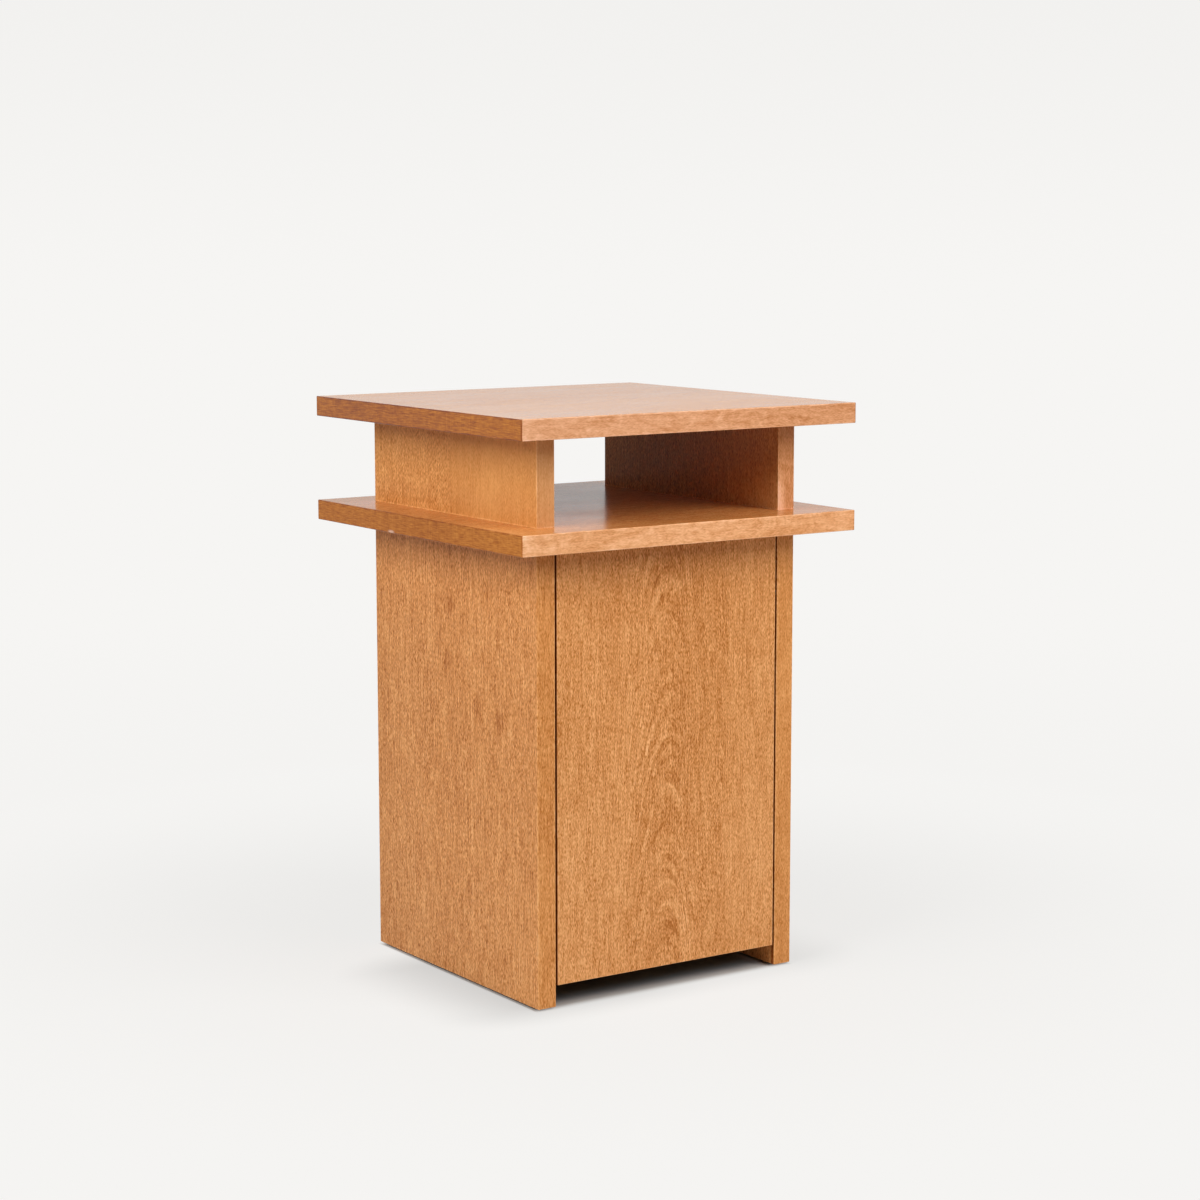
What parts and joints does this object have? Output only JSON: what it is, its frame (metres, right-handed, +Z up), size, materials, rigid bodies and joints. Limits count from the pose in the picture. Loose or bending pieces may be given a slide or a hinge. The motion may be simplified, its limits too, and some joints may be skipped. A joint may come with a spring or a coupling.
{
  "type": "side table",
  "caption": "Side table of veneered boards with a square top, an open niche under it and a cabinet with one flush, handle-less hinged door.",
  "frame": {"origin": "on the floor under the middle of the table", "axes": "+Z up, the door faces -Y, +X to the right of someone who faces the door"},
  "size_m": [0.388, 0.386, 0.5675],
  "materials": {
    "stained_veneer": "stained veneer under satin lacquer",
    "back_board": "stained veneer under satin lacquer",
    "dowel_wood": "bare beech",
    "glide_plastic": "moulded",
    "hinge_brass": "drawn",
    "hinge_steel": "stamped, zinc plated",
    "hardware_steel": "zinc plated",
    "latch_plastic": "moulded",
    "magnet_steel": "nickel plated"
  },
  "bodies": {
    "carcass": {"back_panel": "back_board", "bottom_dowels": "dowel_wood", "bottom_panel": "stained_veneer", "cabinet_dowels": "dowel_wood", "glide_nails": "hardware_steel", "glide_pads": "glide_plastic", "hinge_barrel_cabinet_lower": "hinge_brass", "hinge_barrel_cabinet_upper": "hinge_brass", "hinge_pivot_pins_cabinet": "hardware_steel", "latch_housing": "latch_plastic", "latch_screws": "hardware_steel", "latch_spring": "hardware_steel", "latch_tube": "latch_plastic", "lower_side_left": "stained_veneer", "lower_side_right": "stained_veneer", "mid_shelf": "stained_veneer", "niche_dowels": "dowel_wood", "top_dowels": "dowel_wood", "top_panel": "stained_veneer", "upper_side_left": "stained_veneer", "upper_side_right": "stained_veneer"},
    "cabinet_links": {"hinge_link_cabinet_lower": "hinge_steel", "hinge_link_cabinet_upper": "hinge_steel", "hinge_slider_pins_cabinet": "hardware_steel", "hinge_cross_rivets": "hardware_steel"},
    "door_links": {"hinge_link_door_lower": "hinge_steel", "hinge_link_door_upper": "hinge_steel", "hinge_slider_pins_door": "hardware_steel"},
    "door": {"door_panel": "stained_veneer", "hinge_barrel_door_lower": "hinge_brass", "hinge_barrel_door_upper": "hinge_brass", "hinge_pivot_pins_door": "hardware_steel", "strike_plate": "hardware_steel", "strike_screw": "hardware_steel"},
    "plunger": {"latch_plunger": "latch_plastic", "latch_magnet": "magnet_steel"}
  },
  "joints": [
    {"name": "door_swing", "type": "hinge", "parent": "carcass", "child": "cabinet_links", "pos_m": [0.139, -0.1461, 0], "axis": [0, 0, 1], "range_deg": [0, 57]},
    {"name": "links_cross", "type": "hinge", "parent": "cabinet_links", "child": "door_links", "pos_m": [0.13, -0.1375, 0], "axis": [0, 0, -1], "range_deg": [0, 19]},
    {"name": "door_turn", "type": "hinge", "parent": "door_links", "child": "door", "pos_m": [0.121, -0.1461, 0], "axis": [0, 0, 1], "range_deg": [0, 57]},
    {"name": "plunger_press", "type": "slide", "parent": "carcass", "child": "plunger", "axis": [0, 1, 0], "range_m": [0, 0.0025], "stiffness_N_per_m": 800, "deforming": ["latch_spring"]}
  ],
  "couplings": [
    {"joint": "door_swing", "follows": "links_cross", "ratio": 3},
    {"joint": "door_turn", "follows": "links_cross", "ratio": 3}
  ]
}
